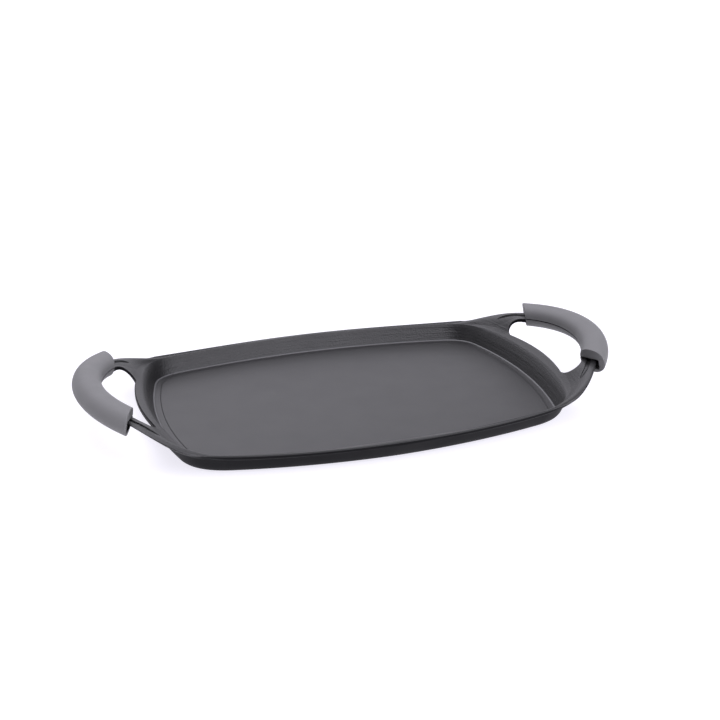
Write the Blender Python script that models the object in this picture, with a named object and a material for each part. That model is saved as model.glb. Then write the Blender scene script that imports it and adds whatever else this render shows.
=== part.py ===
"""Stovetop griddle: one casting with two loop handles, a silicone grip on each, a steel base plate.

Frame: origin on the table under the middle of the pan, +X along the length through the
handles, +Y across, +Z up. Lengths are in metres.
"""

import math

import bmesh
import bpy
import numpy as np

# Plan of the pan. Every outline bows outwards on all four sides, so each is given by its half
# length on the X axis, its half width on the Y axis and how far it draws in towards the corners.
BOW_REACH_X = 0.200
BOW_REACH_Y = 0.145

FLOOR_HALF_LENGTH = 0.200
FLOOR_HALF_WIDTH = 0.1447
FLOOR_LEVEL = 0.005
MOAT_WIDTH = 0.007
PLATEAU_STEP = 0.0006
STEP_RUN = 0.0008

RIM_HALF_WIDTH = 0.1593
RIM_BOW = 0.0299
RIM_LEVEL = 0.0223
RIM_LIFT = 0.0041
RIM_CREST = 0.005
EDGE_THICKNESS = 0.0047
WALL_THICKNESS = 0.0043

BASE_HALF_LENGTH = 0.2052
BASE_HALF_WIDTH = 0.1472
BASE_ROUNDING = 0.0075

# Handles. The loop and its grip lie in one plane that climbs outwards.
HANDLE_SLOPE = math.radians(11.2)
HANDLE_REACH = 0.265
HANDLE_SWEEP = 0.0320
HANDLE_SWEEP_4 = 0.0040
HANDLE_SPAN = 0.090
HANDLE_HEIGHT = 0.049
BAR_INNER = -0.012
BAR_OUTER = 0.0035
BAR_TOP = -0.0006
BAR_BOTTOM = BAR_TOP - EDGE_THICKNESS
SHOULDER_START_X = 0.182
SHOULDER_END_Y = 0.060
LOOP_HANDLE = 0.0547
RIM_HANDLE = 0.0217
SHOULDER_SAG = 0.004
WALL_TOP_LEVEL = 0.0213
WALL_TOP_LIFT = 0.001
FLANGE_HALF_LENGTH = 0.207
FLARE = 0.56

HOLE_HALF_LENGTH = 0.219
HOLE_BOW = 0.007
HOLE_HALF_SPAN = 0.0617
HOLE_BAR_SPAN = 0.0770
HOLE_END_BAR = (0.2245, 0.0800)
HOLE_END_PAN = (0.2135, 0.0790)

# Grip section, measured from the loop's plane: u outwards, v up.
GRIP_HALF_WIDTH = 0.0142
GRIP_HALF_HEIGHT = 0.0125
GRIP_CENTRE_U = 0.0005
GRIP_CENTRE_V = -0.0010
GRIP_SQUARENESS_OUTER_TOP = 2.3
GRIP_SQUARENESS_INNER_TOP = 2.7
GRIP_SQUARENESS_BOTTOM = 1.80
GRIP_END_Y = 0.080
GRIP_END_TURN = math.radians(20)
FIT_GAP = 0.0003
SLOT_GAP = 0.0014
SLOT_DROP = 0.0025

PLATE_HALF_LENGTH = 0.150
PLATE_HALF_WIDTH = 0.095
PLATE_CORNER = 0.060
PLATE_THICKNESS = 0.0012

# Points round one quarter of the pan: along the end, round the corner, along the side.
END_STEPS = 12
CORNER_STEPS = 9
SIDE_STEPS = 7


def remove_everything():
    for obj in list(bpy.data.objects):
        bpy.data.objects.remove(obj, do_unlink=True)


def new_collection(name):
    collection = bpy.data.collections.new(name)
    bpy.context.scene.collection.children.link(collection)
    return collection


def smoothstep(value):
    value = np.clip(value, 0.0, 1.0)
    return value * value * (3.0 - 2.0 * value)


def evenly(points, steps):
    """The polyline through the points, resampled to equal lengths."""
    points = np.asarray(points, float)
    lengths = np.linalg.norm(np.diff(points, axis=0), axis=1)
    travelled = np.concatenate([[0.0], np.cumsum(lengths)])
    wanted = np.linspace(0.0, travelled[-1], steps + 1)
    return np.stack([np.interp(wanted, travelled, points[:, k]) for k in range(points.shape[1])], 1)


def bezier(controls, steps=40):
    """Points of a quadratic or cubic Bezier curve."""
    controls = np.asarray(controls, float)
    order = len(controls) - 1
    t = np.linspace(0.0, 1.0, steps + 1)[:, None]
    terms = [math.comb(order, k) * t**k * (1 - t) ** (order - k) * controls[k] for k in range(order + 1)]
    return sum(terms)


def crossing(point_a, slope_a, point_b, slope_b):
    """Where two lines given by a point and a direction meet."""
    step = np.linalg.solve(np.stack([slope_a, -np.asarray(slope_b)], 1), np.subtract(point_b, point_a))
    return np.asarray(point_a) + step[0] * np.asarray(slope_a)


def bowed_quarter(half_length, half_width, end_bow, side_bow, corner):
    """One quarter of a bowed outline, from the X axis to the Y axis, as its three runs."""

    def end_point(y):
        return np.array([half_length - end_bow * (y / BOW_REACH_Y) ** 2, y])

    def side_point(x):
        return np.array([x, half_width - side_bow * (x / BOW_REACH_X) ** 2])

    corner_y = half_width - side_bow - corner
    corner_x = half_length - end_bow - corner
    end_direction = np.array([-2 * end_bow * corner_y / BOW_REACH_Y**2, 1.0])
    side_direction = np.array([1.0, -2 * side_bow * corner_x / BOW_REACH_X**2])
    start = end_point(corner_y)
    finish = side_point(corner_x)
    tip = crossing(start, end_direction, finish, side_direction)
    end_run = [end_point(y) for y in np.linspace(0.0, corner_y, 20)]
    side_run = [side_point(x) for x in np.linspace(corner_x, 0.0, 20)]
    return join_runs(end_run, bezier([start, tip, finish]), side_run)


def join_runs(end_run, corner_run, side_run):
    """The three runs of a quarter with matching points, so that every outline has the same count."""
    end_run = evenly(end_run, END_STEPS)
    corner_run = evenly(corner_run, CORNER_STEPS)
    side_run = evenly(side_run, SIDE_STEPS)
    return np.concatenate([end_run, corner_run[1:], side_run[1:]])


def handle_path(y):
    """Centre of the grip's section above the point y across the pan, and the plan normal there."""
    share = y / HANDLE_SPAN
    x = HANDLE_REACH - HANDLE_SWEEP * share**2 - HANDLE_SWEEP_4 * share**4
    slope = -(2 * HANDLE_SWEEP * share + 4 * HANDLE_SWEEP_4 * share**3) / HANDLE_SPAN
    in_plane = slope / math.cos(HANDLE_SLOPE)
    length = math.hypot(in_plane, 1.0)
    return x, 1.0 / length, -in_plane / length


def handle_point(y, u, v):
    """A point of the handle: u outwards from the path and v above it, in the loop's plane."""
    x, outwards, across = handle_path(y)
    rise = x - HANDLE_REACH
    run_x = u * outwards
    cos_slope = math.cos(HANDLE_SLOPE)
    sin_slope = math.sin(HANDLE_SLOPE)
    return np.array(
        [
            x + run_x * cos_slope - v * sin_slope,
            y + u * across,
            HANDLE_HEIGHT + rise * math.tan(HANDLE_SLOPE) + run_x * sin_slope + v * cos_slope,
        ]
    )


def outer_edge_quarter():
    """The casting's outer top edge: round the loop, down the shoulder and along the rim."""

    def rim_point(x):
        share = x / BOW_REACH_X
        return np.array([x, RIM_HALF_WIDTH - RIM_BOW * share**2, RIM_LEVEL + RIM_LIFT * share**4])

    loop = [handle_point(y, BAR_OUTER, BAR_TOP) for y in np.linspace(0.0, SHOULDER_END_Y, 30)]
    rim = [rim_point(x) for x in np.linspace(SHOULDER_START_X, 0.0, 20)]
    loop_direction = loop[-1] - loop[-2]
    loop_direction /= np.linalg.norm(loop_direction)
    rim_direction = rim[0] - rim[1]
    rim_direction /= np.linalg.norm(rim_direction)
    sag = np.array([0.0, 0.0, SHOULDER_SAG])
    leaving = loop[-1] + LOOP_HANDLE * loop_direction + sag
    arriving = rim[0] + RIM_HANDLE * rim_direction - sag
    shoulder = bezier([loop[-1], leaving, arriving, rim[0]])
    return join_runs(loop, shoulder, rim)


def corner_share():
    """1 in the middle of a corner, falling to 0 a quarter of the way along the end and the side."""
    count = END_STEPS + CORNER_STEPS + SIDE_STEPS + 1
    place = np.arange(count, dtype=float)
    middle = END_STEPS + CORNER_STEPS / 2
    return smoothstep(1.0 - np.abs(place - middle) / (CORNER_STEPS * 0.9))


def end_share():
    """1 along the end, falling to 0 on the way round the corner."""
    count = END_STEPS + CORNER_STEPS + SIDE_STEPS + 1
    place = np.arange(count, dtype=float)
    return 1.0 - smoothstep((place - END_STEPS) / CORNER_STEPS)


def with_level(outline, level):
    return np.column_stack([outline, np.broadcast_to(level, len(outline))])


def rounded(before, corner, after, reach, steps):
    """The points that round one corner of the section at every place along the outline."""
    reach = np.asarray(reach, float).reshape(-1, 1) * np.ones((len(corner), 1))
    back = before - corner
    ahead = after - corner
    back_length = np.linalg.norm(back, axis=1, keepdims=True)
    ahead_length = np.linalg.norm(ahead, axis=1, keepdims=True)
    start = corner + back / back_length * np.minimum(reach, 0.48 * back_length)
    finish = corner + ahead / ahead_length * np.minimum(reach, 0.48 * ahead_length)
    shares = np.linspace(0.0, 1.0, steps + 1)
    return [(1 - t) ** 2 * start + 2 * t * (1 - t) * corner + t * t * finish for t in shares]


def flange_rings(wall_top, outer_edge, shares):
    """Rings of the upper face between the wall's top (0) and the outer edge (1)."""
    slope = math.tan(HANDLE_SLOPE)
    inner_level = wall_top[:, 2] - slope * wall_top[:, 0]
    outer_level = outer_edge[:, 2] - slope * outer_edge[:, 0]
    rings = []
    for share in shares:
        along = share * np.ones(len(wall_top))
        ring = wall_top + along[:, None] * (outer_edge - wall_top)
        level = inner_level + (outer_level - inner_level) * smoothstep(along / FLARE)
        ring[:, 2] = slope * ring[:, 0] + level
        rings.append(ring)
    return rings


def body_rings():
    """Every ring of the casting, from the middle of its underside round to the middle of its floor."""
    corner = corner_share()
    end = end_share()
    floor_edge = with_level(
        bowed_quarter(FLOOR_HALF_LENGTH, FLOOR_HALF_WIDTH, 0.0271, 0.0280, 0.016), FLOOR_LEVEL
    )
    base_edge = with_level(
        bowed_quarter(BASE_HALF_LENGTH, BASE_HALF_WIDTH, 0.0275, 0.0325, 0.024), 0.0
    )
    outer_edge = outer_edge_quarter()
    wall_top = with_level(
        bowed_quarter(FLANGE_HALF_LENGTH, RIM_HALF_WIDTH - RIM_CREST, 0.0271, 0.0290, 0.024),
        WALL_TOP_LEVEL,
    )
    wall_top[:, 2] = WALL_TOP_LEVEL + WALL_TOP_LIFT * (wall_top[:, 0] / BOW_REACH_X) ** 4
    outwards = outer_edge - wall_top
    width = np.linalg.norm(outwards[:, :2], axis=1)
    under_share = WALL_THICKNESS / width
    flange_shares = [0.80, 0.65, 0.50, 0.35, 0.20]
    upper = flange_rings(wall_top, outer_edge, flange_shares)
    lower_edge = outer_edge - np.array([0.0, 0.0, EDGE_THICKNESS])
    along = np.gradient(outer_edge[:, :2], axis=0)
    normal = np.column_stack([along[:, 1], -along[:, 0]])
    normal /= np.linalg.norm(normal, axis=1)[:, None]
    normal[0] = (1.0, 0.0)
    normal[-1] = (0.0, 1.0)
    draft = 0.0008 + 0.0037 * smoothstep((outer_edge[:, 0] - 0.160) / 0.035)
    inset = normal * draft[:, None]
    lower_edge[:, :2] -= inset
    under = flange_rings(wall_top, outer_edge, [under_share])[0]
    under[:, 2] -= EDGE_THICKNESS
    lower = []
    for share in (0.25, 0.50, 0.75):
        place = under_share + share * (1 - under_share)
        ring = flange_rings(wall_top, outer_edge, [place])[0]
        ring[:, 2] -= EDGE_THICKNESS
        ring[:, :2] -= inset * share
        lower.append(ring)
    moat_edge = with_level(
        bowed_quarter(
            FLOOR_HALF_LENGTH - MOAT_WIDTH, FLOOR_HALF_WIDTH - MOAT_WIDTH, 0.0271, 0.0280, 0.014
        ),
        FLOOR_LEVEL,
    )
    plateau_edge = with_level(
        bowed_quarter(
            FLOOR_HALF_LENGTH - MOAT_WIDTH - STEP_RUN,
            FLOOR_HALF_WIDTH - MOAT_WIDTH - STEP_RUN,
            0.0271,
            0.0280,
            0.014,
        ),
        FLOOR_LEVEL + PLATEAU_STEP,
    )
    base_inner = base_edge * [0.9, 0.9, 1.0]
    rings = [base_inner]
    rings += rounded(base_inner, base_edge, under, BASE_ROUNDING, 3)
    rings += rounded(base_edge, under, lower[0], 0.003 * end + 0.0004, 2)
    rings += lower
    rings += rounded(lower[-1], lower_edge, outer_edge, 0.0014, 2)
    rings += rounded(lower_edge, outer_edge, upper[0], 0.0018, 3)
    rings += upper
    rings += rounded(upper[-1], wall_top, floor_edge, 0.002 + 0.006 * end, 4)
    rings += rounded(wall_top, floor_edge, moat_edge, 0.0035 + 0.004 * corner, 3)
    rings += [moat_edge, plateau_edge]
    return rings


def whole_ring(quarter):
    """A closed ring from the quarter between the X axis and the Y axis."""
    back_left = quarter[::-1][1:] * [-1, 1, 1]
    front_left = quarter[1:] * [-1, -1, 1]
    front_right = quarter[::-1][1:-1] * [1, -1, 1]
    return np.concatenate([quarter, back_left, front_left, front_right])


def loft(name, rings, collection):
    """A closed solid through rings of equal counts, with a face over the first and the last."""
    mesh = bmesh.new()
    loops = [[mesh.verts.new(point) for point in ring] for ring in rings]
    count = len(loops[0])
    for lower, upper in zip(loops, loops[1:]):
        for k in range(count):
            following = (k + 1) % count
            mesh.faces.new([lower[k], lower[following], upper[following], upper[k]])
    mesh.faces.new(loops[0][::-1])
    mesh.faces.new(loops[-1])
    bmesh.ops.remove_doubles(mesh, verts=mesh.verts, dist=1e-6)
    bmesh.ops.recalc_face_normals(mesh, faces=mesh.faces)
    data = bpy.data.meshes.new(name)
    mesh.to_mesh(data)
    mesh.free()
    obj = bpy.data.objects.new(name, data)
    collection.objects.link(obj)
    return obj


def prism(name, outline, bottom, top, collection):
    """A solid with a vertical side over a closed plan outline."""
    outline = np.asarray(outline)
    return loft(name, [with_level(outline, bottom), with_level(outline, top)], collection)


def as_cutter(cutter):
    cutter.hide_render = True
    cutter.display_type = "WIRE"
    return cutter


def cut(obj, cutter):
    modifier = obj.modifiers.new("cut_" + cutter.name, "BOOLEAN")
    modifier.operation = "DIFFERENCE"
    modifier.solver = "EXACT"
    modifier.object = as_cutter(cutter)


def hand_hole_outline(side):
    """The hole between the pan and the loop, in plan: its pan side bows, its ends are round."""
    pan_side = [
        (HOLE_HALF_LENGTH - HOLE_BOW * (y / HOLE_HALF_SPAN) ** 2, y)
        for y in np.linspace(0.0, HOLE_HALF_SPAN, 8)
    ]
    bar_side = [handle_point(y, BAR_INNER, BAR_TOP)[:2] for y in np.linspace(0.0, HOLE_BAR_SPAN, 10)]
    round_end = bezier([bar_side[-1], HOLE_END_BAR, HOLE_END_PAN, pan_side[-1]], 10)
    half = np.array(list(bar_side) + list(round_end[1:-1]) + pan_side[::-1])
    other_half = half[::-1][1:-1] * [1, -1]
    outline = np.concatenate([half, other_half])
    return outline * [side, 1]


def grip_section(count=24):
    angles = (np.arange(count) + 0.5) / count * 2 * math.pi
    cosine = np.cos(angles)
    sine = np.sin(angles)
    top = np.where(cosine > 0, GRIP_SQUARENESS_OUTER_TOP, GRIP_SQUARENESS_INNER_TOP)
    power = 2 / np.where(sine > 0, top, GRIP_SQUARENESS_BOTTOM)
    u = GRIP_CENTRE_U + GRIP_HALF_WIDTH * np.sign(cosine) * np.abs(cosine) ** power
    v = GRIP_CENTRE_V + GRIP_HALF_HEIGHT * np.sign(sine) * np.abs(sine) ** power
    return np.column_stack([u, v])


def grip_end_station(u):
    """How far across the pan the line u of the grip reaches before the flat end face cuts it."""
    centre_x = handle_path(GRIP_END_Y)[0]
    places = np.linspace(0.4, 1.3, 60) * GRIP_END_Y
    beyond = []
    for y in places:
        x, outwards, across = handle_path(y)
        step_x = x + u * outwards * math.cos(HANDLE_SLOPE) - centre_x
        step_y = y + u * across - GRIP_END_Y
        beyond.append(-step_x * math.cos(GRIP_END_TURN) + step_y * math.sin(GRIP_END_TURN))
    return float(np.interp(0.0, beyond, places))


def make_grip(name, side, collection, cutters):
    """The sleeve: its section swept along the loop, cut flat at both ends, and slotted for the bar."""
    section = grip_section()
    reach = [grip_end_station(u) for u, v in section]
    rings = []
    for share in np.linspace(-1.0, 1.0, 25):
        ring = [handle_point(share * reach[k], u, v) for k, (u, v) in enumerate(section)]
        rings.append(np.array(ring) * [side, 1, 1])
    grip = loft(name, rings, collection)
    slot_rings = []
    for y in np.linspace(-1.1, 1.1, 25) * GRIP_END_Y:
        outer = BAR_OUTER + SLOT_GAP
        floor = BAR_BOTTOM - SLOT_DROP
        corners = [(-0.060, floor), (outer, floor)]
        corners += [(outer, BAR_TOP + SLOT_GAP), (-0.060, BAR_TOP + SLOT_GAP)]
        ring = []
        for u, v in corners:
            point = handle_point(y, max(u, BAR_INNER), v)
            if u < BAR_INNER:
                reach_in = point[0] - 0.200
                point = point - np.array([reach_in, 0.0, reach_in * math.tan(HANDLE_SLOPE)])
            ring.append(point * [side, 1, 1])
        slot_rings.append(ring)
    cut(grip, loft(name + "_slot", slot_rings, cutters))
    return grip


def rounded_rectangle(half_length, half_width, corner, steps=8):
    points = []
    for k, (sign_x, sign_y) in enumerate([(1, 1), (-1, 1), (-1, -1), (1, -1)]):
        centre = np.array([sign_x * (half_length - corner), sign_y * (half_width - corner)])
        for angle in np.linspace(0.0, math.pi / 2, steps + 1) + k * math.pi / 2:
            points.append(centre + corner * np.array([math.cos(angle), math.sin(angle)]))
    return np.array(points)


def make_material(name, colour, metallic, roughness):
    material = bpy.data.materials.new(name)
    material.use_nodes = True
    shader = material.node_tree.nodes["Principled BSDF"]
    shader.inputs["Base Color"].default_value = (*colour, 1.0)
    shader.inputs["Metallic"].default_value = metallic
    shader.inputs["Roughness"].default_value = roughness
    return material


def give(obj, material):
    obj.data.materials.clear()
    obj.data.materials.append(material)


def smooth(obj):
    obj.data.shade_smooth()
    obj.data.set_sharp_from_angle(angle=math.radians(35))


def make_body(collection, cutters):
    body = loft("griddle_body", [whole_ring(ring) for ring in body_rings()], collection)
    for side, name in ((-1, "left"), (1, "right")):
        outline = hand_hole_outline(side)
        cut(body, prism(name + "_hand_hole", outline, -0.01, 0.08, cutters))
    recess = rounded_rectangle(
        PLATE_HALF_LENGTH + FIT_GAP, PLATE_HALF_WIDTH + FIT_GAP, PLATE_CORNER + FIT_GAP
    )
    cut(body, prism("plate_recess", recess, -0.01, PLATE_THICKNESS + FIT_GAP, cutters))
    return body


def main():
    remove_everything()
    collection = new_collection("griddle")
    cutters = new_collection("cutters")
    coating = make_material("non_stick_coating", (0.045, 0.045, 0.048), 0.3, 0.45)
    silicone = make_material("grey_silicone", (0.22, 0.22, 0.225), 0.0, 0.75)
    steel = make_material("base_steel", (0.45, 0.45, 0.46), 1.0, 0.35)
    body = make_body(collection, cutters)
    give(body, coating)
    smooth(body)
    for side, name in ((-1, "left_grip"), (1, "right_grip")):
        grip = make_grip(name, side, collection, cutters)
        give(grip, silicone)
        smooth(grip)
    outline = rounded_rectangle(PLATE_HALF_LENGTH, PLATE_HALF_WIDTH, PLATE_CORNER)
    plate = prism("induction_plate", outline, 0.0, PLATE_THICKNESS, collection)
    give(plate, steel)


main()
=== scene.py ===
"""Stovetop griddle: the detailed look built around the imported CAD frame.

The casting and the two silicone grips are rebuilt here as finer meshes on the same outlines as
the CAD, and ride on its bodies. The base plate is the CAD's own, with a steel material. Lengths
are in metres, in the frame's own axes.
"""

import math

import bmesh
import bpy
import numpy as np
from mathutils import Matrix, Vector
from mathutils.bvhtree import BVHTree

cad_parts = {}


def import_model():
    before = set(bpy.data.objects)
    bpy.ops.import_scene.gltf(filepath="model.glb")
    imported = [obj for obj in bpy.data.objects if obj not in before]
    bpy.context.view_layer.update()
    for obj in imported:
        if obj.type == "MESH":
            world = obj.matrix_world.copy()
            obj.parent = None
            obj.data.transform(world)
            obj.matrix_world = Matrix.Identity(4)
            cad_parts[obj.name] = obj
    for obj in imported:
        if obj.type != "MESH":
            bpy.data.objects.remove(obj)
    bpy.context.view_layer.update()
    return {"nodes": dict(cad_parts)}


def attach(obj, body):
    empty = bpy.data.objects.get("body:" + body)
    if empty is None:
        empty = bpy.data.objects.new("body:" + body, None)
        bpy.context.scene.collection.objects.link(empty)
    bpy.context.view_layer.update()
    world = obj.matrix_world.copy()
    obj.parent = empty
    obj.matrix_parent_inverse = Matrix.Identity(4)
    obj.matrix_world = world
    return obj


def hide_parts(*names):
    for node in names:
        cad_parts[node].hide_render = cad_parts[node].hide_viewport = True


# The photograph's camera: where it stands and which way its axes point.
CAMERA_PLACE = (-0.3489, -1.0999, 0.4788)
CAMERA_RIGHT = (0.9493, -0.3144, -0.0082)
CAMERA_UP = (0.1179, 0.3315, 0.9361)
CAMERA_BACK = (-0.2916, -0.8895, 0.3518)
CAMERA_LENS_MM = 59.754
CAMERA_SENSOR_MM = 36.0

# The steel plate let into the underside, and its recess.
PLATE_HALF_LENGTH = 0.150
PLATE_HALF_WIDTH = 0.095
PLATE_CORNER = 0.060
PLATE_THICKNESS = 0.0012
FIT_GAP = 0.0003
RECESS_CUTTER_BOTTOM = -0.010

# Plan of the pan: every outline is bowed by so much at these reaches from its middle.
BOW_REACH_X = 0.200
BOW_REACH_Y = 0.145
END_BOW = 0.0271
FLOOR_HALF_LENGTH = 0.200
FLOOR_HALF_WIDTH = 0.1447
FLOOR_SIDE_BOW = 0.0280
FLOOR_CORNER = 0.016
FLOOR_LEVEL = 0.005

# The gutter round the floor, the raised cooking area and the small ledge at the wall's foot.
MOAT_WIDTH = 0.0075
MOAT_CORNER = 0.014
PLATEAU_STEP = 0.0006
STEP_RUN = 0.0008
STEP_ROUND = 0.0004
LEDGE_WIDTH = 0.0013
LEDGE_FALL = 0.0005
LEDGE_HEIGHT = 0.0004
LEDGE_FRONT_RUN = 0.0004
LEDGE_ROUND = 0.0004
LEDGE_LIP_ROUND = 0.0003
LEDGE_BLEND = 0.04

# The rim, the walls and the base.
RIM_HALF_WIDTH = 0.1593
RIM_BOW = 0.0299
RIM_LEVEL = 0.0223
RIM_LIFT = 0.0041
RIM_CREST = 0.005
EDGE_THICKNESS = 0.0047
WALL_THICKNESS = 0.0043
BASE_HALF_LENGTH = 0.2052
BASE_HALF_WIDTH = 0.1472
BASE_END_BOW = 0.0275
BASE_SIDE_BOW = 0.0325
BASE_CORNER = 0.024
BASE_ROUNDING = 0.0075
BASE_FLAT_SHARE = 0.9
WALL_TOP_LEVEL = 0.0213
WALL_TOP_LIFT = 0.001
WALL_TOP_HALF_LENGTH = 0.207
WALL_TOP_SIDE_BOW = 0.0290
WALL_TOP_CORNER = 0.024
WALL_TOP_ROUND = 0.004
WALL_TOP_ROUND_END = 0.010
UNDER_ROUND = 0.0004
UNDER_ROUND_END = 0.003
EDGE_ROUND_TOP = 0.0014
EDGE_ROUND_BOTTOM = 0.0010
DRAFT_RIM = 0.0008
DRAFT_HANDLE = 0.0037
DRAFT_START_X = 0.160
DRAFT_RUN = 0.035

# Handles: a loop in a plane that climbs outwards.
HANDLE_SLOPE = math.radians(11.2)
HANDLE_REACH = 0.265
HANDLE_SWEEP = 0.0320
HANDLE_SWEEP_4 = 0.0040
HANDLE_SPAN = 0.090
HANDLE_HEIGHT = 0.049
BAR_INNER = -0.012
BAR_OUTER = 0.0035
BAR_TOP = -0.0006
SHOULDER_START_X = 0.182
SHOULDER_END_Y = 0.060
LOOP_HANDLE = 0.0547
RIM_HANDLE = 0.0217
SHOULDER_SAG = 0.004
FLARE = 0.56
CORNER_FLARE = 0.95
FLANGE_OUTER_SHARE = 0.970
FLANGE_INNER_SHARE = 0.20
HOLE_HALF_LENGTH = 0.219
HOLE_BOW = 0.007
HOLE_HALF_SPAN = 0.0617
HOLE_BAR_SPAN = 0.0770
HOLE_END_BAR = (0.2245, 0.0800)
HOLE_END_PAN = (0.2135, 0.0790)
HOLE_EDGE_ROUND = 0.0009
HOLE_CUTTER_SPREAD = 0.0040
HOLE_CUTTER_BOTTOM = -0.020
HOLE_CUTTER_TOP = 0.100

# The shallow channel that runs round each bar and fades into the flange at both ends.
CHANNEL_BEND = (0.2268, 0.0912)
CHANNEL_FINISH = (0.2130, 0.1003)
CHANNEL_BAR_U = -0.0042
CHANNEL_BAR_SPAN = 0.0705
CHANNEL_HALF_WIDTH = 0.0023
CHANNEL_DEPTH = 0.0020
CHANNEL_END_SHARE = 0.05
CHANNEL_FLOOR_DROP = 0.12
CHANNEL_LIP = ((-1.45, 2.0), (-1.45, 0.12), (-1.2, -0.04))

# The upper face eases down over its last few millimetres.
EASE_WIDTH = 0.0040
EASE_DROP = 0.0008

# Grip section, measured from the loop's plane: u outwards, v up.
GRIP_HALF_WIDTH = 0.0142
GRIP_HALF_HEIGHT = 0.0125
GRIP_CENTRE_U = 0.0005
GRIP_CENTRE_V = -0.0010
GRIP_SQUARENESS_OUTER_TOP = 2.3
GRIP_SQUARENESS_INNER_TOP = 2.7
GRIP_SQUARENESS_BOTTOM = 1.80
GRIP_END_Y = 0.080
GRIP_END_TURN = math.radians(20)
GRIP_END_ROUND = 0.0007
LIP_SHARE = 0.18
RAY_SHIFT = 0.00002
GRIP_STEPS = 90
PATH_RATE = 1.25
SLIT_TOP = 0.0010
SLIT_BOTTOM = -0.0003
CAVITY_TOP = 0.0014
CAVITY_OUTER = 0.0073
CAVITY_BOTTOM = -0.0095

# The studio's soft round lights: degrees round from behind the pan towards +X, degrees up,
# strength. The last three shine up through the floor's opening, on the underside only.
GLOW_OUTER = 32.0
GLOW_INNER = 12.0
GLOWS = (
    (-45.0, 8.0, 0.88),
    (0.0, 8.0, 0.80),
    (45.0, 8.0, 0.80),
    (15.0, 32.0, 0.55),
    (135.0, 32.0, 2.3),
    (165.0, 34.0, 0.9),
    (270.0, 32.0, 0.75),
    (0.0, 60.0, 2.9),
    (180.0, 60.0, 2.6),
    (0.0, 90.0, 0.5),
    (0.0, -60.0, 1.0),
    (180.0, -60.0, 0.8),
    (0.0, -90.0, 0.4),
)
LIGHT_TINT = (0.985, 0.968, 1.055)

# The lit floor: it lies just clear of the base, and is open under this share of the base's outline.
STAGE_RADIUS = 60.0
STAGE_LEVEL = -0.0002
STAGE_OPENING = 0.93

# Looks: base colour, and the roughness from its low to its high.
INSIDE_COLOUR = (0.0125, 0.0125, 0.0130)
INSIDE_ROUGHNESS = (0.405, 0.435)
# The outside colour is darker than the inside as painted shade: the outer walls and undersides face away
# from the light.
OUTSIDE_SHADED_COLOUR = (0.0060, 0.0060, 0.0070)
OUTSIDE_ROUGHNESS = (0.46, 0.54)
OUTSIDE_SPECULAR = 0.08
# The next colour is a painted highlight: a lighter strip on the small ledge at the wall's foot, for the
# thin line of light along that edge.
PAINTED_HIGHLIGHT_COLOUR = (0.080, 0.080, 0.083)
PAINTED_HIGHLIGHT_ROUGHNESS = (0.32, 0.40)
SILICONE_COLOUR = (0.176, 0.176, 0.177)
SILICONE_ROUGHNESS = (0.55, 0.66)
SILICONE_SPECULAR = 0.25
STEEL_COLOUR = (0.50, 0.50, 0.51)
STEEL_ROUGHNESS = (0.28, 0.36)
COATING_GRAIN = 900.0
SILICONE_GRAIN = 1500.0
STEEL_GRAIN = 700.0
STREAK_STRENGTH = 11.0
STREAK_SCALES = (9.0, 9.0, 520.0)
RING_SCALE = 160.0
STAGE_COLOUR = (0.35, 0.35, 0.35)
STAGE_EMISSION = 0.80

# How finely each part is divided.
END_STEPS = 66
CORNER_STEPS = 64
SIDE_STEPS = 40
UPPER_RINGS = 58
SOFTEN_ROUNDS = 8


def smoothstep(value):
    value = np.clip(value, 0.0, 1.0)
    return value * value * (3.0 - 2.0 * value)


def evenly(points, steps):
    """The polyline through the points, resampled to equal lengths."""
    points = np.asarray(points, float)
    lengths = np.linalg.norm(np.diff(points, axis=0), axis=1)
    travelled = np.concatenate([[0.0], np.cumsum(lengths)])
    wanted = np.linspace(0.0, travelled[-1], steps + 1)
    return np.stack([np.interp(wanted, travelled, points[:, k]) for k in range(points.shape[1])], 1)


def bezier(controls, steps=120):
    """Points of a quadratic or cubic Bezier curve."""
    controls = np.asarray(controls, float)
    order = len(controls) - 1
    t = np.linspace(0.0, 1.0, steps + 1)[:, None]
    terms = [math.comb(order, k) * t**k * (1 - t) ** (order - k) * controls[k] for k in range(order + 1)]
    return sum(terms)


def crossing(point_a, slope_a, point_b, slope_b):
    """Where two lines given by a point and a direction meet."""
    step = np.linalg.solve(np.stack([slope_a, -np.asarray(slope_b)], 1), np.subtract(point_b, point_a))
    return np.asarray(point_a) + step[0] * np.asarray(slope_a)


def floor_quarter(shrink, corner):
    """A quarter of the floor's outline, moved in by the shrink."""
    half_length = FLOOR_HALF_LENGTH - shrink
    half_width = FLOOR_HALF_WIDTH - shrink
    return bowed_quarter(half_length, half_width, END_BOW, FLOOR_SIDE_BOW, corner)


def base_quarter():
    return bowed_quarter(BASE_HALF_LENGTH, BASE_HALF_WIDTH, BASE_END_BOW, BASE_SIDE_BOW, BASE_CORNER)


def bowed_quarter(half_length, half_width, end_bow, side_bow, corner):
    """One quarter of a bowed outline, from the X axis to the Y axis."""

    def end_point(y):
        return np.array([half_length - end_bow * (y / BOW_REACH_Y) ** 2, y])

    def side_point(x):
        return np.array([x, half_width - side_bow * (x / BOW_REACH_X) ** 2])

    corner_y = half_width - side_bow - corner
    corner_x = half_length - end_bow - corner
    end_direction = np.array([-2 * end_bow * corner_y / BOW_REACH_Y**2, 1.0])
    side_direction = np.array([1.0, -2 * side_bow * corner_x / BOW_REACH_X**2])
    start = end_point(corner_y)
    finish = side_point(corner_x)
    tip = crossing(start, end_direction, finish, side_direction)
    end_run = [end_point(y) for y in np.linspace(0.0, corner_y, 80)]
    side_run = [side_point(x) for x in np.linspace(corner_x, 0.0, 80)]
    return join_runs(end_run, bezier([start, tip, finish]), side_run)


def join_runs(end_run, corner_run, side_run):
    end_run = evenly(end_run, END_STEPS)
    corner_run = evenly(corner_run, CORNER_STEPS)
    side_run = evenly(side_run, SIDE_STEPS)
    return np.concatenate([end_run, corner_run[1:], side_run[1:]])


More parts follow.
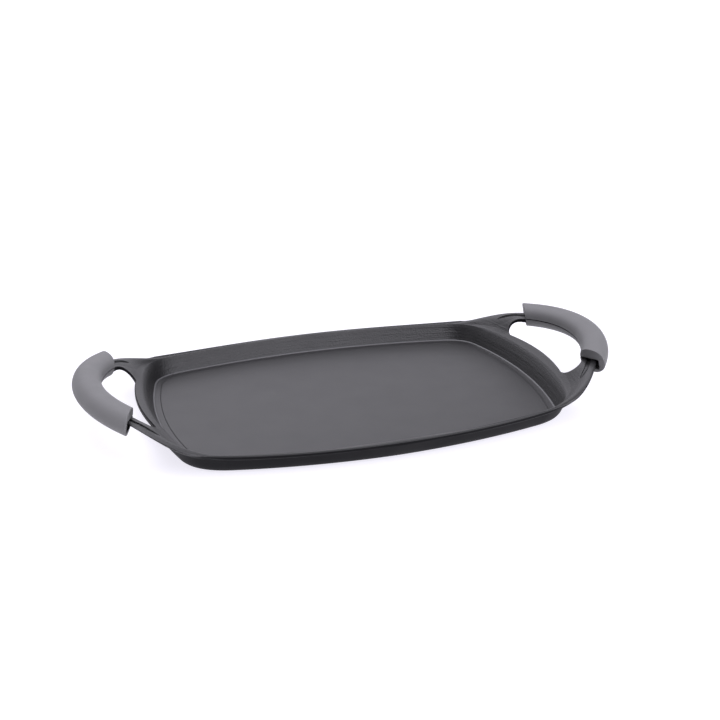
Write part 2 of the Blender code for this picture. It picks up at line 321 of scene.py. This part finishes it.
def handle_path(y):
    """Centre of the grip's section above the point y across the pan, and the plan normal there."""
    share = y / HANDLE_SPAN
    x = HANDLE_REACH - HANDLE_SWEEP * share**2 - HANDLE_SWEEP_4 * share**4
    slope = -(2 * HANDLE_SWEEP * share + 4 * HANDLE_SWEEP_4 * share**3) / HANDLE_SPAN
    in_plane = slope / math.cos(HANDLE_SLOPE)
    length = math.hypot(in_plane, 1.0)
    return x, 1.0 / length, -in_plane / length


def handle_point(y, u, v):
    """A point of the handle: u outwards from the path and v above it, in the loop's plane."""
    x, outwards, across = handle_path(y)
    path_level = HANDLE_HEIGHT + (x - HANDLE_REACH) * math.tan(HANDLE_SLOPE)
    run_x = u * outwards
    cos_slope = math.cos(HANDLE_SLOPE)
    sin_slope = math.sin(HANDLE_SLOPE)
    return np.array(
        [
            x + run_x * cos_slope - v * sin_slope,
            y + u * across,
            path_level + run_x * sin_slope + v * cos_slope,
        ]
    )


def outer_edge_quarter():
    """The casting's outer top edge: round the loop, down the shoulder and along the rim."""

    def rim_point(x):
        share = x / BOW_REACH_X
        return np.array([x, RIM_HALF_WIDTH - RIM_BOW * share**2, RIM_LEVEL + RIM_LIFT * share**4])

    loop = [handle_point(y, BAR_OUTER, BAR_TOP) for y in np.linspace(0.0, SHOULDER_END_Y, 60)]
    rim = [rim_point(x) for x in np.linspace(SHOULDER_START_X, 0.0, 60)]
    loop_direction = loop[-1] - loop[-2]
    loop_direction /= np.linalg.norm(loop_direction)
    rim_direction = rim[0] - rim[1]
    rim_direction /= np.linalg.norm(rim_direction)
    sag = np.array([0.0, 0.0, SHOULDER_SAG])
    leaving = loop[-1] + LOOP_HANDLE * loop_direction + sag
    arriving = rim[0] + RIM_HANDLE * rim_direction - sag
    shoulder = bezier([loop[-1], leaving, arriving, rim[0]])
    return join_runs(loop, shoulder, rim)


def corner_share():
    """1 in the middle of a corner, falling to 0 on the way along the end and the side."""
    place = np.arange(END_STEPS + CORNER_STEPS + SIDE_STEPS + 1, dtype=float)
    middle = END_STEPS + CORNER_STEPS / 2
    return smoothstep(1.0 - np.abs(place - middle) / (CORNER_STEPS * 0.9))


def end_share():
    """1 along the end, falling to 0 on the way round the corner."""
    place = np.arange(END_STEPS + CORNER_STEPS + SIDE_STEPS + 1, dtype=float)
    return 1.0 - smoothstep((place - END_STEPS) / CORNER_STEPS)


def with_level(outline, level):
    return np.column_stack([outline, np.broadcast_to(level, len(outline))])


def rounded(before, corner, after, reach, steps):
    """The points that round one corner of the section at every place along the outline."""
    reach = np.asarray(reach, float).reshape(-1, 1) * np.ones((len(corner), 1))
    back = before - corner
    ahead = after - corner
    back_length = np.linalg.norm(back, axis=1, keepdims=True)
    ahead_length = np.linalg.norm(ahead, axis=1, keepdims=True)
    start = corner + back / back_length * np.minimum(reach, 0.48 * back_length)
    finish = corner + ahead / ahead_length * np.minimum(reach, 0.48 * ahead_length)
    shares = np.linspace(0.0, 1.0, steps + 1)
    return [(1 - t) ** 2 * start + 2 * t * (1 - t) * corner + t * t * finish for t in shares]


def between(first, last, steps):
    """Rings spaced evenly between two rings, without the two themselves."""
    return [first + (last - first) * k / steps for k in range(1, steps)]


def soften(rings, share):
    """Blends the creases of the outside along the long walls, where the share is 1."""
    rings = np.array(rings)
    amount = 0.5 * share[None, :, None]
    for _ in range(SOFTEN_ROUNDS):
        middle = (rings[:-2] + rings[2:]) / 2
        rings[1:-1] += amount * (middle - rings[1:-1])
    return list(rings)


def flange_rings(wall_top, outer_edge, shares):
    """Rings of the upper face between the wall's top (0) and the outer edge (1)."""
    slope = math.tan(HANDLE_SLOPE)
    flare = FLARE + (CORNER_FLARE - FLARE) * corner_share() ** 2
    inner_level = wall_top[:, 2] - slope * wall_top[:, 0]
    outer_level = outer_edge[:, 2] - slope * outer_edge[:, 0]
    rings = []
    for share in shares:
        along = share * np.ones(len(wall_top))
        ring = wall_top + along[:, None] * (outer_edge - wall_top)
        level = inner_level + (outer_level - inner_level) * smoothstep(along / flare)
        ring[:, 2] = slope * ring[:, 0] + level
        rings.append(ring)
    return rings


def ease_drop(ring, outer_edge):
    """How far the outer edge eases down, so the rim and the handles are slightly domed."""
    distance = np.linalg.norm((outer_edge - ring)[:, :2], axis=1)
    return EASE_DROP * (1.0 - np.clip(distance / EASE_WIDTH, 0.0, 1.0)) ** 2


def body_rings():
    """The casting's outer rings, its top rings, and which of all of them the ledge runs between."""
    end = end_share()
    floor_edge = with_level(floor_quarter(0.0, FLOOR_CORNER), FLOOR_LEVEL)
    base_edge = with_level(base_quarter(), 0.0)
    outer_edge = outer_edge_quarter()
    crest_half_width = RIM_HALF_WIDTH - RIM_CREST
    crest = bowed_quarter(
        WALL_TOP_HALF_LENGTH, crest_half_width, END_BOW, WALL_TOP_SIDE_BOW, WALL_TOP_CORNER
    )
    wall_top = with_level(crest, WALL_TOP_LEVEL)
    wall_top[:, 2] = WALL_TOP_LEVEL + WALL_TOP_LIFT * (wall_top[:, 0] / BOW_REACH_X) ** 4
    width = np.linalg.norm((outer_edge - wall_top)[:, :2], axis=1)
    under_share = WALL_THICKNESS / width
    lower_edge = outer_edge - np.array([0.0, 0.0, EDGE_THICKNESS])
    along = np.gradient(outer_edge[:, :2], axis=0)
    normal = np.column_stack([along[:, 1], -along[:, 0]])
    normal /= np.linalg.norm(normal, axis=1)[:, None]
    normal[0] = (1.0, 0.0)
    normal[-1] = (0.0, 1.0)
    draft = DRAFT_RIM + DRAFT_HANDLE * smoothstep((outer_edge[:, 0] - DRAFT_START_X) / DRAFT_RUN)
    inset = normal * draft[:, None]
    lower_edge[:, :2] -= inset
    under = flange_rings(wall_top, outer_edge, [under_share])[0]
    under[:, 2] -= EDGE_THICKNESS
    lower = []
    for share in np.linspace(0.08, 0.92, 14):
        ring = flange_rings(wall_top, outer_edge, [under_share + share * (1 - under_share)])[0]
        ring[:, 2] -= EDGE_THICKNESS
        ring[:, :2] -= inset * share
        lower.append(ring)
    shares = np.linspace(FLANGE_OUTER_SHARE, FLANGE_INNER_SHARE, UPPER_RINGS)
    upper = flange_rings(wall_top, outer_edge, shares)
    for ring in upper:
        ring[:, 2] -= ease_drop(ring, outer_edge)
    outer_edge[:, 2] -= ease_drop(outer_edge, outer_edge)
    moat_edge = with_level(floor_quarter(MOAT_WIDTH, MOAT_CORNER), FLOOR_LEVEL)
    plateau = floor_quarter(MOAT_WIDTH + STEP_RUN, MOAT_CORNER)
    plateau_edge = with_level(plateau, FLOOR_LEVEL + PLATEAU_STEP)
    base_inner = base_edge * [BASE_FLAT_SHARE, BASE_FLAT_SHARE, 1.0]
    plateau_inner = plateau_edge * [0.96, 0.96, 1.0]
    wall_reach = WALL_TOP_ROUND + WALL_TOP_ROUND_END * end
    wall_round = rounded(upper[-1], wall_top, floor_edge, wall_reach, 14)
    floor_centre = floor_edge * [0.0, 0.0, 1.0]
    inwards = (floor_centre - floor_edge) / np.linalg.norm(floor_centre - floor_edge, axis=1)[:, None]
    ledge_back = floor_edge + [0.0, 0.0, LEDGE_HEIGHT + LEDGE_FALL]
    ledge_front = floor_edge + inwards * LEDGE_WIDTH + [0.0, 0.0, LEDGE_HEIGHT]
    ledge_foot = floor_edge + inwards * (LEDGE_WIDTH + LEDGE_FRONT_RUN)
    wall_foot = ledge_back + (wall_top - ledge_back) * LEDGE_BLEND
    floor_round = [wall_foot] + rounded(wall_foot, ledge_back, ledge_front, LEDGE_ROUND, 2)
    floor_round += rounded(ledge_back, ledge_front, ledge_foot, LEDGE_LIP_ROUND, 2)
    floor_round += rounded(ledge_front, ledge_foot, moat_edge, LEDGE_ROUND, 2)
    base_round = rounded(base_inner, base_edge, under, BASE_ROUNDING, 8)
    under_round = rounded(base_edge, under, lower[0], UNDER_ROUND_END * end + UNDER_ROUND, 4)
    outer_rings = [base_edge * [0.5, 0.5, 1.0], base_inner] + base_round
    outer_rings += between(base_round[-1], under_round[0], 4) + under_round + lower
    outer_rings += rounded(lower[-1], lower_edge, outer_edge, EDGE_ROUND_BOTTOM, 4)
    outer_rings = soften(outer_rings, 1.0 - end)
    top_rings = rounded(lower_edge, outer_edge, upper[0], EDGE_ROUND_TOP, 5) + upper + wall_round
    top_rings += between(wall_round[-1], floor_round[0], 4)
    # The ledge's rings carry the painted highlight.
    ledge_start = len(outer_rings) + len(top_rings) + 2
    ledge_rings = range(ledge_start, ledge_start + 5)
    top_rings += floor_round
    top_rings += rounded(floor_round[-1], moat_edge, plateau_edge, STEP_ROUND, 2)
    top_rings += rounded(moat_edge, plateau_edge, plateau_inner, STEP_ROUND, 3)
    top_rings += [plateau_inner, plateau_inner * [0.6, 0.6, 1.0], plateau_inner * [0.25, 0.25, 1.0]]
    return outer_rings, top_rings, ledge_rings


def whole_ring(quarter):
    """A closed ring from the quarter between the X axis and the Y axis."""
    back_left = quarter[::-1][1:] * [-1, 1, 1]
    front_left = quarter[1:] * [-1, -1, 1]
    front_right = quarter[::-1][1:-1] * [1, -1, 1]
    return np.concatenate([quarter, back_left, front_left, front_right])


def loft(name, rings, first_material_rings=0, highlight_rings=range(0)):
    """A closed solid through rings of equal counts, with a face over the first and the last."""
    mesh = bmesh.new()
    loops = [[mesh.verts.new(point) for point in ring] for ring in rings]
    count = len(loops[0])
    for level, (lower, upper) in enumerate(zip(loops, loops[1:])):
        for k in range(count):
            following = (k + 1) % count
            face = mesh.faces.new([lower[k], lower[following], upper[following], upper[k]])
            # Faces below first_material_rings take the outside coating, whose darker colour is painted
            # shade.
            face.material_index = 1 if level < first_material_rings else 0
            # Faces between the listed rings get the third material, the painted highlight.
            if level in highlight_rings:
                face.material_index = 2
    bottom = mesh.faces.new(loops[0][::-1])
    bottom.material_index = 1 if first_material_rings else 0
    mesh.faces.new(loops[-1])
    bmesh.ops.remove_doubles(mesh, verts=mesh.verts, dist=1e-6)
    bmesh.ops.recalc_face_normals(mesh, faces=mesh.faces)
    data = bpy.data.meshes.new(name)
    mesh.to_mesh(data)
    mesh.free()
    obj = bpy.data.objects.new(name, data)
    bpy.context.scene.collection.objects.link(obj)
    return obj


def hand_hole_outline(side):
    pan_side = [
        (HOLE_HALF_LENGTH - HOLE_BOW * (y / HOLE_HALF_SPAN) ** 2, y)
        for y in np.linspace(0.0, HOLE_HALF_SPAN, 24)
    ]
    bar_side = [handle_point(y, BAR_INNER, BAR_TOP)[:2] for y in np.linspace(0.0, HOLE_BAR_SPAN, 30)]
    round_end = bezier([bar_side[-1], HOLE_END_BAR, HOLE_END_PAN, pan_side[-1]], 28)
    half = np.array(list(bar_side) + list(round_end[1:-1]) + pan_side[::-1])
    half = evenly(half, 110)
    other_half = half[::-1][1:-1] * [1, -1]
    return np.concatenate([half, other_half]) * [side, 1]


def ray_tree(obj):
    """A tree of an object's faces, to cast rays at."""
    corners = [vertex.co for vertex in obj.data.vertices]
    return BVHTree.FromPolygons(corners, [face.vertices for face in obj.data.polygons])


def hand_hole_cutter(name, side, body):
    """A cutter that follows the flange's own faces, so the hole's edges come out rounded."""
    outline = hand_hole_outline(side)
    tangent = np.roll(outline, -1, axis=0) - np.roll(outline, 1, axis=0)
    normal = np.column_stack([tangent[:, 1], -tangent[:, 0]])
    normal /= np.linalg.norm(normal, axis=1)[:, None]
    centre = outline.mean(axis=0)
    if np.sum((outline - centre) * normal) < 0:
        normal = -normal
    tree = ray_tree(body)
    probe = outline + normal * HOLE_EDGE_ROUND + RAY_SHIFT
    top = np.array([tree.ray_cast(Vector((x, y, 0.2)), Vector((0, 0, -1)))[0].z for x, y in probe])
    bottom = np.array([tree.ray_cast(Vector((x, y, -0.2)), Vector((0, 0, 1)))[0].z for x, y in probe])
    flared = outline + normal * HOLE_CUTTER_SPREAD
    rings = [with_level(flared, HOLE_CUTTER_BOTTOM), with_level(flared, bottom - HOLE_CUTTER_SPREAD)]
    for turn in np.linspace(math.pi / 2, 0.0, 5):
        out = HOLE_EDGE_ROUND * (1 - math.cos(turn))
        rise = HOLE_EDGE_ROUND * (1 - math.sin(turn))
        rings.append(with_level(outline + normal * out, bottom + rise))
    for turn in np.linspace(0.0, math.pi / 2, 5):
        out = HOLE_EDGE_ROUND * (1 - math.cos(turn))
        rise = HOLE_EDGE_ROUND * (1 - math.sin(turn))
        rings.append(with_level(outline + normal * out, top - rise))
    rings += [with_level(flared, top + HOLE_CUTTER_SPREAD), with_level(flared, HOLE_CUTTER_TOP)]
    # Its faces carry material index 1, the outside coating with its painted shade.
    return loft(name, rings, first_material_rings=len(rings))


def channel_line(side):
    """Plan of the channel's middle: in from one shoulder, round the bar and out to the other."""
    spans = np.linspace(-CHANNEL_BAR_SPAN, CHANNEL_BAR_SPAN, 80)
    bar = np.array([handle_point(y, CHANNEL_BAR_U, BAR_TOP)[:2] for y in spans])
    fade = bezier([bar[-1], CHANNEL_BEND, CHANNEL_FINISH], 40)
    line = np.concatenate([fade[::-1] * [1, -1], bar[1:-1], fade])
    return evenly(line, 260) * [side, 1]


def channel_cutter(name, side, body):
    """A round-bottomed cutter that follows the upper face along the channel's line."""
    line = channel_line(side)
    tangent = np.gradient(line, axis=0)
    normal = np.column_stack([tangent[:, 1], -tangent[:, 0]])
    normal /= np.linalg.norm(normal, axis=1)[:, None]
    tree = ray_tree(body)
    travelled = np.linspace(0.0, 1.0, len(line))
    to_end = np.minimum(travelled, 1.0 - travelled) / CHANNEL_END_SHARE
    fullness = np.sqrt(1.0 - (1.0 - np.clip(to_end, 0.05, 1.0)) ** 2)
    turns = np.linspace(math.pi, 2 * math.pi, 9)
    floor = []
    for turn in turns:
        across = math.copysign(abs(math.cos(turn)) ** 0.6, math.cos(turn))
        down = -abs(math.sin(turn)) ** 0.8 - CHANNEL_FLOOR_DROP
        floor.append((across, down / (1.0 + CHANNEL_FLOOR_DROP)))
    far_lip = [(-across, up) for across, up in CHANNEL_LIP[::-1]]
    profile = list(CHANNEL_LIP) + floor + far_lip
    rings = []
    for place, aside, full in zip(line, normal, fullness):
        ring = []
        for across, up in profile:
            x, y = place + aside * across * full * CHANNEL_HALF_WIDTH + RAY_SHIFT
            surface = tree.ray_cast(Vector((x, y, 0.2)), Vector((0, 0, -1)))[0].z
            ring.append((x, y, surface + up * full * CHANNEL_DEPTH))
        rings.append(np.array(ring))
    return loft(name, rings, first_material_rings=0)


def plate_recess_cutter():
    """The plate's outline with a little clearance, from below the pan up into its underside."""
    corner = PLATE_CORNER + FIT_GAP
    centre = np.array([PLATE_HALF_LENGTH + FIT_GAP - corner, PLATE_HALF_WIDTH + FIT_GAP - corner])
    turns = np.linspace(0.0, math.pi / 2, 25)
    quarter = centre + corner * np.column_stack([np.cos(turns), np.sin(turns)])
    outline = whole_ring(with_level(quarter, 0.0))
    levels = (RECESS_CUTTER_BOTTOM, PLATE_THICKNESS + FIT_GAP)
    rings = [outline + [0.0, 0.0, level] for level in levels]
    # Its faces carry material index 1, the outside coating with its painted shade.
    return loft("plate_recess", rings, first_material_rings=len(rings))


def cut_and_apply(obj, cutter):
    modifier = obj.modifiers.new("cut", "BOOLEAN")
    modifier.operation = "DIFFERENCE"
    modifier.solver = "MANIFOLD"
    modifier.object = cutter
    bpy.context.view_layer.update()
    graph = bpy.context.evaluated_depsgraph_get()
    result = bpy.data.meshes.new_from_object(obj.evaluated_get(graph))
    obj.modifiers.clear()
    obj.data = result
    bpy.data.objects.remove(cutter, do_unlink=True)


def superellipse_point(angle):
    cosine = math.cos(angle)
    sine = math.sin(angle)
    top = GRIP_SQUARENESS_OUTER_TOP if cosine > 0 else GRIP_SQUARENESS_INNER_TOP
    power = 2 / (top if sine > 0 else GRIP_SQUARENESS_BOTTOM)
    u = GRIP_CENTRE_U + GRIP_HALF_WIDTH * math.copysign(abs(cosine) ** power, cosine)
    v = GRIP_CENTRE_V + GRIP_HALF_HEIGHT * math.copysign(abs(sine) ** power, sine)
    return np.array([u, v])


def grip_section():
    """The sleeve's C section: its outside, then through the slit and round the cavity."""
    outline = np.array([superellipse_point(a) for a in np.linspace(0, 2 * math.pi, 721)[:-1]])
    inner_side = outline[:, 0] < 0
    upper = int(np.argmin(np.where(inner_side, np.abs(outline[:, 1] - SLIT_TOP), 1.0)))
    lower = int(np.argmin(np.where(inner_side, np.abs(outline[:, 1] - SLIT_BOTTOM), 1.0)))
    outside = np.roll(outline, -lower, axis=0)[: (upper - lower) % len(outline) + 1]
    outside = evenly(outside, 88)
    # Each point is (u, v), just clear of the bar above and with room for it to hang below.
    wall = BAR_INNER - 0.0002
    cavity = [
        outside[-1],
        (wall, SLIT_TOP),
        (-0.0104, CAVITY_TOP),
        (-0.0020, CAVITY_TOP - 0.0001),
        (0.0030, CAVITY_TOP + 0.0004),
        (CAVITY_OUTER - 0.0008, CAVITY_TOP + 0.0004),
        (CAVITY_OUTER, CAVITY_TOP - 0.0004),
        (CAVITY_OUTER, CAVITY_BOTTOM + 0.0018),
        (CAVITY_OUTER - 0.0018, CAVITY_BOTTOM),
        (-0.0055, CAVITY_BOTTOM + 0.0008),
        (-0.0095, CAVITY_BOTTOM + 0.0022),
        (wall + 0.0001, -0.0050),
        (wall, SLIT_BOTTOM),
        outside[0],
    ]
    cavity = evenly(np.array(cavity), 60)
    section = np.concatenate([outside, cavity[1:-1]])
    return section, len(outside)


def section_normals(section):
    """Unit vectors pointing out of the silicone at each point of its section."""
    tangent = np.roll(section, -1, axis=0) - np.roll(section, 1, axis=0)
    normal = np.column_stack([tangent[:, 1], -tangent[:, 0]])
    return normal / np.maximum(np.linalg.norm(normal, axis=1), 1e-9)[:, None]


def grip_end_station(u):
    """How far across the pan the line u of the grip reaches before the flat end face cuts it."""
    centre_x = handle_path(GRIP_END_Y)[0]
    places = np.linspace(0.4, 1.3, 120) * GRIP_END_Y
    beyond = []
    for y in places:
        x, outwards, across = handle_path(y)
        step_x = x + u * outwards * math.cos(HANDLE_SLOPE) - centre_x
        step_y = y + u * across - GRIP_END_Y
        beyond.append(-step_x * math.cos(GRIP_END_TURN) + step_y * math.sin(GRIP_END_TURN))
    return float(np.interp(0.0, beyond, places))


def make_grip(name, side):
    section, outside_count = grip_section()
    normals = section_normals(section)
    if np.sum((section[:outside_count] - [GRIP_CENTRE_U, GRIP_CENTRE_V]) * normals[:outside_count]) < 0:
        normals = -normals
    travelled = np.arange(len(section)) / outside_count
    weight = np.where(travelled < 1.0, np.clip(travelled / LIP_SHARE, 0.1, 1.0), 0.1)
    normals = normals * weight[:, None]
    reach = np.array([grip_end_station(u) for u, _ in section])
    stops = []
    for turn in np.linspace(0.0, math.pi / 2, 6):
        back = GRIP_END_ROUND * (1 - math.sin(turn)) / PATH_RATE
        stops.append((back, GRIP_END_ROUND * (1 - math.cos(turn))))
    stops = stops[::-1]
    built = [grip_ring(section - normals * inset, back - reach, side) for back, inset in stops]
    inner = reach - GRIP_END_ROUND - 0.001
    for share in np.linspace(-1.0, 1.0, GRIP_STEPS):
        built.append(grip_ring(section, share * inner, side))
    for back, inset in stops[::-1]:
        built.append(grip_ring(section - normals * inset, reach - back, side))
    return loft(name, built)


def grip_ring(section, stations, side):
    ring = [handle_point(y, u, v) for y, (u, v) in zip(stations, section)]
    return np.array(ring) * [side, 1, 1]


def smooth(obj, degrees):
    obj.data.shade_smooth()
    obj.data.set_sharp_from_angle(angle=math.radians(degrees))


def new_material(name, colour, roughness=0.5, metallic=0.0, specular=0.5):
    material = bpy.data.materials.new(name)
    material.use_nodes = True
    shader = material.node_tree.nodes["Principled BSDF"]
    shader.inputs["Base Color"].default_value = (*colour, 1.0)
    shader.inputs["Roughness"].default_value = roughness
    shader.inputs["Metallic"].default_value = metallic
    shader.inputs["Specular IOR Level"].default_value = specular
    return material, material.node_tree, shader


def ranged(tree, value, low, high, to_low, to_high):
    """A map-range node from one span of values to another."""
    node = tree.nodes.new("ShaderNodeMapRange")
    node.inputs["From Min"].default_value = low
    node.inputs["From Max"].default_value = high
    node.inputs["To Min"].default_value = to_low
    node.inputs["To Max"].default_value = to_high
    tree.links.new(value, node.inputs["Value"])
    return node.outputs["Result"]


def noise(tree, vector, scale, detail, roughness):
    node = tree.nodes.new("ShaderNodeTexNoise")
    node.inputs["Scale"].default_value = scale
    node.inputs["Detail"].default_value = detail
    node.inputs["Roughness"].default_value = roughness
    tree.links.new(vector, node.inputs["Vector"])
    return node.outputs["Fac"]


def scaled(tree, vector, factors):
    node = tree.nodes.new("ShaderNodeVectorMath")
    node.operation = "MULTIPLY"
    node.inputs[1].default_value = factors
    tree.links.new(vector, node.inputs[0])
    return node.outputs["Vector"]


def calculated(tree, operation, first, second):
    """A math node; the second operand is either a socket or a number."""
    node = tree.nodes.new("ShaderNodeMath")
    node.operation = operation
    tree.links.new(first, node.inputs[0])
    if isinstance(second, float):
        node.inputs[1].default_value = second
    else:
        tree.links.new(second, node.inputs[1])
    return node.outputs["Value"]


def textured(tree, shader, colour, roughness, spread, grain, bump_height, bump_strength):
    """Adds fine grain: small changes of colour, roughness and height, all in object space."""
    place = tree.nodes.new("ShaderNodeTexCoord")
    fine = noise(tree, place.outputs["Object"], grain, 3.0, 0.6)
    broad = noise(tree, place.outputs["Object"], grain / 28, 2.0, 0.5)
    tint = tree.nodes.new("ShaderNodeVectorMath")
    tint.operation = "SCALE"
    tint.inputs[0].default_value = colour
    tree.links.new(ranged(tree, fine, 0.3, 0.7, 1.0 - spread, 1.0 + spread), tint.inputs["Scale"])
    tree.links.new(tint.outputs["Vector"], shader.inputs["Base Color"])
    tree.links.new(ranged(tree, broad, 0.3, 0.7, *roughness), shader.inputs["Roughness"])
    bump = tree.nodes.new("ShaderNodeBump")
    bump.inputs["Strength"].default_value = bump_strength
    bump.inputs["Distance"].default_value = bump_height
    tree.links.new(fine, bump.inputs["Height"])
    tree.links.new(bump.outputs["Normal"], shader.inputs["Normal"])
    return place, bump, fine


def streak_walls(tree, place, bump, fine):
    """Casting marks that run level along the steep walls, and a fine speckle over them."""
    parts = tree.nodes.new("ShaderNodeSeparateXYZ")
    tree.links.new(place.outputs["Normal"], parts.inputs["Vector"])
    steep = ranged(tree, parts.outputs["Z"], 0.93, 0.70, 0.0, 1.0)
    level_marks = noise(tree, scaled(tree, place.outputs["Object"], STREAK_SCALES), 1.0, 3.0, 0.65)
    speckle = noise(tree, place.outputs["Object"], 520.0, 1.0, 0.5)
    marks = calculated(tree, "ADD", level_marks, calculated(tree, "MULTIPLY", speckle, 0.8))
    marks = calculated(tree, "MULTIPLY", calculated(tree, "MULTIPLY", marks, STREAK_STRENGTH), steep)
    tree.links.new(calculated(tree, "ADD", marks, fine), bump.inputs["Height"])


def turn_rings(tree, place, bump, fine):
    """Fine turning rings round the plate's middle."""
    rings = tree.nodes.new("ShaderNodeTexWave")
    rings.wave_type = "RINGS"
    rings.rings_direction = "Z"
    rings.inputs["Scale"].default_value = RING_SCALE
    rings.inputs["Distortion"].default_value = 0.6
    tree.links.new(place.outputs["Object"], rings.inputs["Vector"])
    height = calculated(tree, "ADD", calculated(tree, "MULTIPLY", rings.outputs["Fac"], 0.6), fine)
    tree.links.new(height, bump.inputs["Height"])


def make_materials():
    inside, tree, shader = new_material("coating_inside", INSIDE_COLOUR)
    place, bump, fine = textured(
        tree,
        shader,
        INSIDE_COLOUR,
        INSIDE_ROUGHNESS,
        spread=0.16,
        grain=COATING_GRAIN,
        bump_height=0.00012,
        bump_strength=0.35,
    )
    streak_walls(tree, place, bump, fine)
    # The outside coating: the same coating made darker, as painted shade.
    outside, tree, shader = new_material("coating_outside_painted_shade", OUTSIDE_SHADED_COLOUR, specular=OUTSIDE_SPECULAR)
    textured(
        tree,
        shader,
        OUTSIDE_SHADED_COLOUR,
        OUTSIDE_ROUGHNESS,
        spread=0.12,
        grain=COATING_GRAIN,
        bump_height=0.0001,
        bump_strength=0.3,
    )
    # Painted highlight for the ledge at the wall's foot: a lighter copy of the coating.
    painted_highlight, tree, shader = new_material("coating_painted_highlight", PAINTED_HIGHLIGHT_COLOUR)
    textured(
        tree,
        shader,
        PAINTED_HIGHLIGHT_COLOUR,
        PAINTED_HIGHLIGHT_ROUGHNESS,
        spread=0.20,
        grain=COATING_GRAIN,
        bump_height=0.0001,
        bump_strength=0.3,
    )
    silicone, tree, shader = new_material("silicone_grey", SILICONE_COLOUR, specular=SILICONE_SPECULAR)
    textured(
        tree,
        shader,
        SILICONE_COLOUR,
        SILICONE_ROUGHNESS,
        spread=0.03,
        grain=SILICONE_GRAIN,
        bump_height=0.00004,
        bump_strength=0.25,
    )
    steel, tree, shader = new_material("plate_steel", STEEL_COLOUR, metallic=1.0)
    place, bump, fine = textured(
        tree,
        shader,
        STEEL_COLOUR,
        STEEL_ROUGHNESS,
        spread=0.05,
        grain=STEEL_GRAIN,
        bump_height=0.00002,
        bump_strength=0.3,
    )
    turn_rings(tree, place, bump, fine)
    return inside, outside, painted_highlight, silicone, steel


def add_glow(tree, direction, azimuth, elevation, strength):
    """One soft round light of the surroundings, by degrees round from behind the pan and up."""
    turn = math.radians(azimuth)
    climb = math.radians(elevation)
    aim = (math.cos(climb) * math.sin(turn), math.cos(climb) * math.cos(turn), math.sin(climb))
    facing = tree.nodes.new("ShaderNodeVectorMath")
    facing.operation = "DOT_PRODUCT"
    facing.inputs[1].default_value = aim
    tree.links.new(direction, facing.inputs[0])
    edge = tree.nodes.new("ShaderNodeMapRange")
    edge.interpolation_type = "SMOOTHSTEP"
    edge.inputs["From Min"].default_value = math.cos(math.radians(GLOW_OUTER))
    edge.inputs["From Max"].default_value = math.cos(math.radians(GLOW_INNER))
    edge.inputs["To Max"].default_value = strength
    tree.links.new(facing.outputs["Value"], edge.inputs["Value"])
    return edge.outputs["Result"]


def make_world():
    """The studio round the pan: soft round lights behind, overhead and in front, on black."""
    world = bpy.data.worlds.new("studio")
    bpy.context.scene.world = world
    world.use_nodes = True
    tree = world.node_tree
    direction = tree.nodes.new("ShaderNodeTexCoord").outputs["Generated"]
    total = None
    for azimuth, elevation, strength in GLOWS:
        glow = add_glow(tree, direction, azimuth, elevation, strength)
        if total is None:
            total = glow
            continue
        both = tree.nodes.new("ShaderNodeMath")
        both.operation = "ADD"
        tree.links.new(total, both.inputs[0])
        tree.links.new(glow, both.inputs[1])
        total = both.outputs["Value"]
    background = tree.nodes["Background"]
    background.inputs["Color"].default_value = (*LIGHT_TINT, 1.0)
    tree.links.new(total, background.inputs["Strength"])


def make_stage():
    """A lit white floor, open under the pan's flat base so that the underside can be seen."""
    opening = whole_ring(with_level(base_quarter() * STAGE_OPENING, STAGE_LEVEL))
    outwards = opening[:, :2] / np.linalg.norm(opening[:, :2], axis=1)[:, None]
    far = with_level(outwards * STAGE_RADIUS, STAGE_LEVEL)
    mesh = bmesh.new()
    near_loop = [mesh.verts.new(point) for point in opening]
    far_loop = [mesh.verts.new(point) for point in far]
    for k in range(len(opening)):
        following = (k + 1) % len(opening)
        mesh.faces.new([near_loop[k], far_loop[k], far_loop[following], near_loop[following]])
    data = bpy.data.meshes.new("studio_floor")
    mesh.to_mesh(data)
    mesh.free()
    floor = bpy.data.objects.new("studio_floor", data)
    bpy.context.scene.collection.objects.link(floor)
    material, _, shader = new_material("light_table", STAGE_COLOUR, 0.9, specular=0.0)
    shader.inputs["Emission Color"].default_value = (*LIGHT_TINT, 1.0)
    shader.inputs["Emission Strength"].default_value = STAGE_EMISSION
    data.materials.append(material)


def make_camera():
    data = bpy.data.cameras.new("camera")
    camera = bpy.data.objects.new("camera", data)
    bpy.context.scene.collection.objects.link(camera)
    data.lens = CAMERA_LENS_MM
    data.sensor_width = CAMERA_SENSOR_MM
    place = Matrix((CAMERA_RIGHT, CAMERA_UP, CAMERA_BACK)).transposed().to_4x4()
    place.translation = Vector(CAMERA_PLACE)
    camera.matrix_world = place
    bpy.context.scene.camera = camera


def main():
    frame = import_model()
    make_camera()
    inside, outside, painted_highlight, silicone, steel = make_materials()
    outer_rings, top_rings, ledge_rings = body_rings()
    rings = [whole_ring(ring) for ring in outer_rings + top_rings]
    body = loft("casting", rings, first_material_rings=len(outer_rings), highlight_rings=ledge_rings)
    body.data.materials.append(inside)
    # Second slot: the outside coating, darkened as painted shade.
    body.data.materials.append(outside)
    # Third slot: the painted highlight on the ledge.
    body.data.materials.append(painted_highlight)
    for side, name in ((-1, "left"), (1, "right")):
        cut_and_apply(body, channel_cutter(name + "_channel", side, body))
        cut_and_apply(body, hand_hole_cutter(name + "_hole", side, body))
    cut_and_apply(body, plate_recess_cutter())
    smooth(body, 32)
    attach(body, "pan")
    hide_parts("griddle_body")
    for side, name in ((-1, "left"), (1, "right")):
        grip = make_grip(name + "_silicone_grip", side)
        grip.data.materials.append(silicone)
        smooth(grip, 38)
        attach(grip, name + "_sleeve")
        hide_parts(name + "_grip")
    plate = frame["nodes"]["induction_plate"]
    plate.data.materials.clear()
    plate.data.materials.append(steel)
    make_stage()
    make_world()
    bpy.context.scene.view_settings.view_transform = "Standard"


main()
